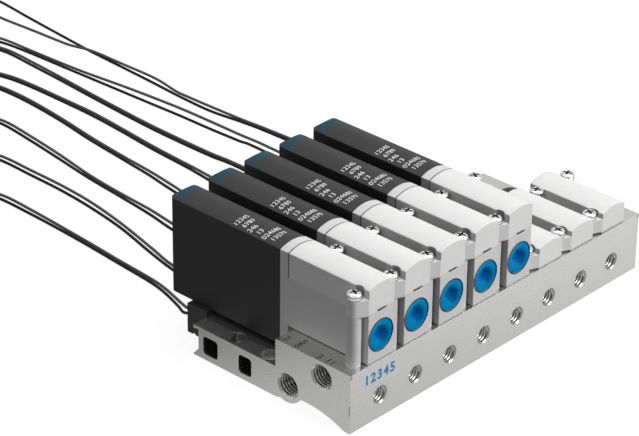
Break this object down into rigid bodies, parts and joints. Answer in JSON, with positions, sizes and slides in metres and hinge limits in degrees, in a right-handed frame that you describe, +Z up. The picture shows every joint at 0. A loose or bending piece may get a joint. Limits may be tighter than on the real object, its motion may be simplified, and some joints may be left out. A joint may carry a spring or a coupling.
{
  "type": "solenoid valve manifold",
  "caption": "Aluminium manifold rail with a row of slim solenoid valves and blanking plates bolted on top, threaded air ports and a rear socket strip with flying leads.",
  "frame": {"origin": "on the standing surface, under the middle of the rail's length and of the depth from the rail's front face to the rear of the coil housings", "axes": "+X along the rail to the right as seen from the port front, +Y from the port front towards the rear and the leads, +Z up"},
  "size_m": [0.1227, 0.2816, 0.0413],
  "materials": {
    "rail": "fine brushed, clear anodised",
    "grey_plastic": "moulded, satin",
    "black_plastic": "moulded, satin",
    "strip": "moulded",
    "blue_plastic": "moulded",
    "window": "smooth",
    "screw": "bright zinc",
    "seal": "matt",
    "winding": "enamelled copper wire",
    "bobbin": "moulded",
    "magnet_steel": "zinc plated",
    "armature": "ground",
    "seat": "turned",
    "contact": "gilt",
    "spring": "drawn wire",
    "lead": "smooth insulation"
  },
  "bodies": {
    "manifold": {"manifold_rail": "rail", "socket_strip": "strip", "blanking_plates": "grey_plastic", "solenoid_coils": "winding", "bobbins": "bobbin", "magnet_frames": "magnet_steel", "seat_inserts": "seat", "contact_pins": "contact", "status_windows": "window", "valve_gaskets": "seal", "plate_gaskets": "seal", "valve_screws": "screw", "plate_screws": "screw", "valve_body_1": "grey_plastic", "valve_cap_1": "grey_plastic", "coil_housing_1": "black_plastic", "bore_plug_1": "blue_plastic", "return_spring_1": "spring", "valve_body_2": "grey_plastic", "valve_cap_2": "grey_plastic", "coil_housing_2": "black_plastic", "bore_plug_2": "blue_plastic", "return_spring_2": "spring", "valve_body_3": "grey_plastic", "valve_cap_3": "grey_plastic", "coil_housing_3": "black_plastic", "bore_plug_3": "blue_plastic", "return_spring_3": "spring", "valve_body_4": "grey_plastic", "valve_cap_4": "grey_plastic", "coil_housing_4": "black_plastic", "bore_plug_4": "blue_plastic", "return_spring_4": "spring", "valve_body_5": "grey_plastic", "valve_cap_5": "grey_plastic", "coil_housing_5": "black_plastic", "bore_plug_5": "blue_plastic", "return_spring_5": "spring", "lead_pair_1": "lead", "lead_coil_1": "lead", "lead_pair_2": "lead", "lead_coil_2": "lead", "lead_pair_3": "lead", "lead_coil_3": "lead", "lead_pair_4": "lead", "lead_coil_4": "lead", "lead_pair_5": "lead", "lead_coil_5": "lead", "lead_pair_6": "lead", "lead_coil_6": "lead", "lead_pair_7": "lead", "lead_coil_7": "lead", "lead_pair_8": "lead", "lead_coil_8": "lead"},
    "armature_1": {"armature_1": "armature"},
    "armature_2": {"armature_2": "armature"},
    "armature_3": {"armature_3": "armature"},
    "armature_4": {"armature_4": "armature"},
    "armature_5": {"armature_5": "armature"}
  },
  "joints": [
    {"name": "armature_slide_1", "type": "slide", "parent": "manifold", "child": "armature_1", "axis": [0, 1, 0], "range_m": [0, 0.0004], "stiffness_N_per_m": 800, "springref_m": -0.0025, "deforming": ["return_spring_1"]},
    {"name": "armature_slide_2", "type": "slide", "parent": "manifold", "child": "armature_2", "axis": [0, 1, 0], "range_m": [0, 0.0004], "stiffness_N_per_m": 800, "springref_m": -0.0025, "deforming": ["return_spring_2"]},
    {"name": "armature_slide_3", "type": "slide", "parent": "manifold", "child": "armature_3", "axis": [0, 1, 0], "range_m": [0, 0.0004], "stiffness_N_per_m": 800, "springref_m": -0.0025, "deforming": ["return_spring_3"]},
    {"name": "armature_slide_4", "type": "slide", "parent": "manifold", "child": "armature_4", "axis": [0, 1, 0], "range_m": [0, 0.0004], "stiffness_N_per_m": 800, "springref_m": -0.0025, "deforming": ["return_spring_4"]},
    {"name": "armature_slide_5", "type": "slide", "parent": "manifold", "child": "armature_5", "axis": [0, 1, 0], "range_m": [0, 0.0004], "stiffness_N_per_m": 800, "springref_m": -0.0025, "deforming": ["return_spring_5"]}
  ]
}
